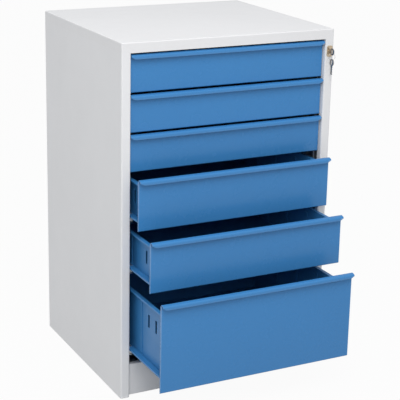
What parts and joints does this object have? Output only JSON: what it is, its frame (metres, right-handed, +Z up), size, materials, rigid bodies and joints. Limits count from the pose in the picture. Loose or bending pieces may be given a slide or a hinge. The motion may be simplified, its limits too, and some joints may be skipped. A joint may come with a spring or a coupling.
{
  "type": "metal drawer cabinet",
  "caption": "Free-standing sheet-steel cabinet with full-width drawers on roller slides, folded handle lips, and a lock with a lifting bar.",
  "frame": {"origin": "middle of the cabinet body's footprint, on the floor", "axes": "+X to the cabinet's right seen from the front, +Y to its back, +Z up; drawers open towards -Y"},
  "size_m": [0.58, 0.697, 0.9],
  "materials": {
    "body_paint": "fine-textured powder coat, light grey",
    "front_paint": "satin paint, mid blue",
    "zinc_steel": "zinc-plated sheet",
    "nylon": "white plastic",
    "rivet_steel": "plated rivet",
    "lock_metal": "satin nickel on brass",
    "key_steel": "plated key blank",
    "ring_steel": "bright wire"
  },
  "bodies": {
    "cabinet": {"side_panel_left": "body_paint", "side_panel_right": "body_paint", "top_panel": "body_paint", "back_panel": "body_paint", "floor_panel": "body_paint", "plinth_panel": "body_paint", "front_posts": "zinc_steel", "rear_posts": "zinc_steel", "drawer_rails_1": "zinc_steel", "drawer_rails_2": "zinc_steel", "drawer_rails_3": "zinc_steel", "drawer_rails_4": "zinc_steel", "drawer_rails_5": "zinc_steel", "drawer_rails_6": "zinc_steel", "front_roller_rivets": "rivet_steel", "bar_guides": "zinc_steel", "lock_housing": "lock_metal", "lock_nut": "rivet_steel"},
    "drawer_1": {"drawer_front_1": "front_paint", "drawer_tray_1": "front_paint", "drawer_runners_1": "front_paint", "rear_roller_rivets_1": "rivet_steel"},
    "front_roller_body_1": {"front_rollers_1": "nylon"},
    "rear_roller_body_1": {"rear_rollers_1": "nylon"},
    "drawer_2": {"drawer_front_2": "front_paint", "drawer_tray_2": "front_paint", "drawer_runners_2": "front_paint", "rear_roller_rivets_2": "rivet_steel"},
    "front_roller_body_2": {"front_rollers_2": "nylon"},
    "rear_roller_body_2": {"rear_rollers_2": "nylon"},
    "drawer_3": {"drawer_front_3": "front_paint", "drawer_tray_3": "front_paint", "drawer_runners_3": "front_paint", "rear_roller_rivets_3": "rivet_steel"},
    "front_roller_body_3": {"front_rollers_3": "nylon"},
    "rear_roller_body_3": {"rear_rollers_3": "nylon"},
    "drawer_4": {"drawer_front_4": "front_paint", "drawer_tray_4": "front_paint", "drawer_runners_4": "front_paint", "rear_roller_rivets_4": "rivet_steel"},
    "front_roller_body_4": {"front_rollers_4": "nylon"},
    "rear_roller_body_4": {"rear_rollers_4": "nylon"},
    "drawer_5": {"drawer_front_5": "front_paint", "drawer_tray_5": "front_paint", "drawer_runners_5": "front_paint", "rear_roller_rivets_5": "rivet_steel"},
    "front_roller_body_5": {"front_rollers_5": "nylon"},
    "rear_roller_body_5": {"rear_rollers_5": "nylon"},
    "drawer_6": {"drawer_front_6": "front_paint", "drawer_tray_6": "front_paint", "drawer_runners_6": "front_paint", "rear_roller_rivets_6": "rivet_steel"},
    "front_roller_body_6": {"front_rollers_6": "nylon"},
    "rear_roller_body_6": {"rear_rollers_6": "nylon"},
    "lock_core": {"lock_plug": "lock_metal", "lock_cam": "zinc_steel", "key": "key_steel"},
    "locking_bar": {"locking_bar": "zinc_steel"},
    "key_ring": {"key_ring": "ring_steel"},
    "spare_key": {"spare_key": "key_steel"}
  },
  "joints": [
    {"name": "drawer_1_slide", "type": "slide", "parent": "cabinet", "child": "drawer_1", "axis": [0, -1, 0], "range_m": [0, 0.4137]},
    {"name": "front_roller_1_spin", "type": "hinge", "parent": "cabinet", "child": "front_roller_body_1", "pos_m": [0, -0.232, 0.794], "axis": [1, 0, 0], "range_deg": [-2, 2636]},
    {"name": "rear_roller_1_spin", "type": "hinge", "parent": "drawer_1", "child": "rear_roller_body_1", "pos_m": [0, 0.2002, 0.794], "axis": [1, 0, 0], "range_deg": [-2, 2636]},
    {"name": "drawer_2_slide", "type": "slide", "parent": "cabinet", "child": "drawer_2", "axis": [0, -1, 0], "range_m": [0, 0.4137]},
    {"name": "front_roller_2_spin", "type": "hinge", "parent": "cabinet", "child": "front_roller_body_2", "pos_m": [0, -0.232, 0.697], "axis": [1, 0, 0], "range_deg": [-2, 2636]},
    {"name": "rear_roller_2_spin", "type": "hinge", "parent": "drawer_2", "child": "rear_roller_body_2", "pos_m": [0, 0.2002, 0.697], "axis": [1, 0, 0], "range_deg": [-2, 2636]},
    {"name": "drawer_3_slide", "type": "slide", "parent": "cabinet", "child": "drawer_3", "axis": [0, -1, 0], "range_m": [0, 0.4137]},
    {"name": "front_roller_3_spin", "type": "hinge", "parent": "cabinet", "child": "front_roller_body_3", "pos_m": [0, -0.232, 0.6], "axis": [1, 0, 0], "range_deg": [-2, 2636]},
    {"name": "rear_roller_3_spin", "type": "hinge", "parent": "drawer_3", "child": "rear_roller_body_3", "pos_m": [0, 0.2002, 0.6], "axis": [1, 0, 0], "range_deg": [-2, 2636]},
    {"name": "drawer_4_slide", "type": "slide", "parent": "cabinet", "child": "drawer_4", "axis": [0, -1, 0], "range_m": [-0.0545, 0.3592]},
    {"name": "front_roller_4_spin", "type": "hinge", "parent": "cabinet", "child": "front_roller_body_4", "pos_m": [0, -0.232, 0.467], "axis": [1, 0, 0], "range_deg": [-349, 2289]},
    {"name": "rear_roller_4_spin", "type": "hinge", "parent": "drawer_4", "child": "rear_roller_body_4", "pos_m": [0, 0.1457, 0.467], "axis": [1, 0, 0], "range_deg": [-349, 2289]},
    {"name": "drawer_5_slide", "type": "slide", "parent": "cabinet", "child": "drawer_5", "axis": [0, -1, 0], "range_m": [-0.1245, 0.2892]},
    {"name": "front_roller_5_spin", "type": "hinge", "parent": "cabinet", "child": "front_roller_body_5", "pos_m": [0, -0.232, 0.334], "axis": [1, 0, 0], "range_deg": [-795, 1844]},
    {"name": "rear_roller_5_spin", "type": "hinge", "parent": "drawer_5", "child": "rear_roller_body_5", "pos_m": [0, 0.0757, 0.334], "axis": [1, 0, 0], "range_deg": [-795, 1844]},
    {"name": "drawer_6_slide", "type": "slide", "parent": "cabinet", "child": "drawer_6", "axis": [0, -1, 0], "range_m": [-0.187, 0.2267]},
    {"name": "front_roller_6_spin", "type": "hinge", "parent": "cabinet", "child": "front_roller_body_6", "pos_m": [0, -0.232, 0.1185], "axis": [1, 0, 0], "range_deg": [-1193, 1446]},
    {"name": "rear_roller_6_spin", "type": "hinge", "parent": "drawer_6", "child": "rear_roller_body_6", "pos_m": [0, 0.0132, 0.1185], "axis": [1, 0, 0], "range_deg": [-1193, 1446]},
    {"name": "lock_turn", "type": "hinge", "parent": "cabinet", "child": "lock_core", "pos_m": [0.278, -0.2578, 0.844], "axis": [0, 1, 0], "range_deg": [0, 90]},
    {"name": "locking_bar_lift", "type": "slide", "parent": "cabinet", "child": "locking_bar", "axis": [0, 0, 1], "range_m": [0, 0.008]},
    {"name": "key_ring_swing", "type": "hinge", "parent": "lock_core", "child": "key_ring", "pos_m": [0.278, -0.268, 0.83675], "axis": [0, 1, 0], "range_deg": [-90, 0]},
    {"name": "spare_key_swing", "type": "hinge", "parent": "key_ring", "child": "spare_key", "pos_m": [0.278, -0.268, 0.8217], "axis": [1, 0, 0], "range_deg": [-75, 12]}
  ],
  "couplings": [
    {"joint": "front_roller_1_spin", "follows": "drawer_1_slide", "rad_per_m": 111.11},
    {"joint": "rear_roller_1_spin", "follows": "drawer_1_slide", "rad_per_m": 111.11},
    {"joint": "front_roller_2_spin", "follows": "drawer_2_slide", "rad_per_m": 111.11},
    {"joint": "rear_roller_2_spin", "follows": "drawer_2_slide", "rad_per_m": 111.11},
    {"joint": "front_roller_3_spin", "follows": "drawer_3_slide", "rad_per_m": 111.11},
    {"joint": "rear_roller_3_spin", "follows": "drawer_3_slide", "rad_per_m": 111.11},
    {"joint": "front_roller_4_spin", "follows": "drawer_4_slide", "rad_per_m": 111.11},
    {"joint": "rear_roller_4_spin", "follows": "drawer_4_slide", "rad_per_m": 111.11},
    {"joint": "front_roller_5_spin", "follows": "drawer_5_slide", "rad_per_m": 111.11},
    {"joint": "rear_roller_5_spin", "follows": "drawer_5_slide", "rad_per_m": 111.11},
    {"joint": "front_roller_6_spin", "follows": "drawer_6_slide", "rad_per_m": 111.11},
    {"joint": "rear_roller_6_spin", "follows": "drawer_6_slide", "rad_per_m": 111.11},
    {"joint": "lock_turn", "follows": "locking_bar_lift", "rad_per_m": 196.3},
    {"joint": "key_ring_swing", "follows": "locking_bar_lift", "rad_per_m": -196.3}
  ]
}
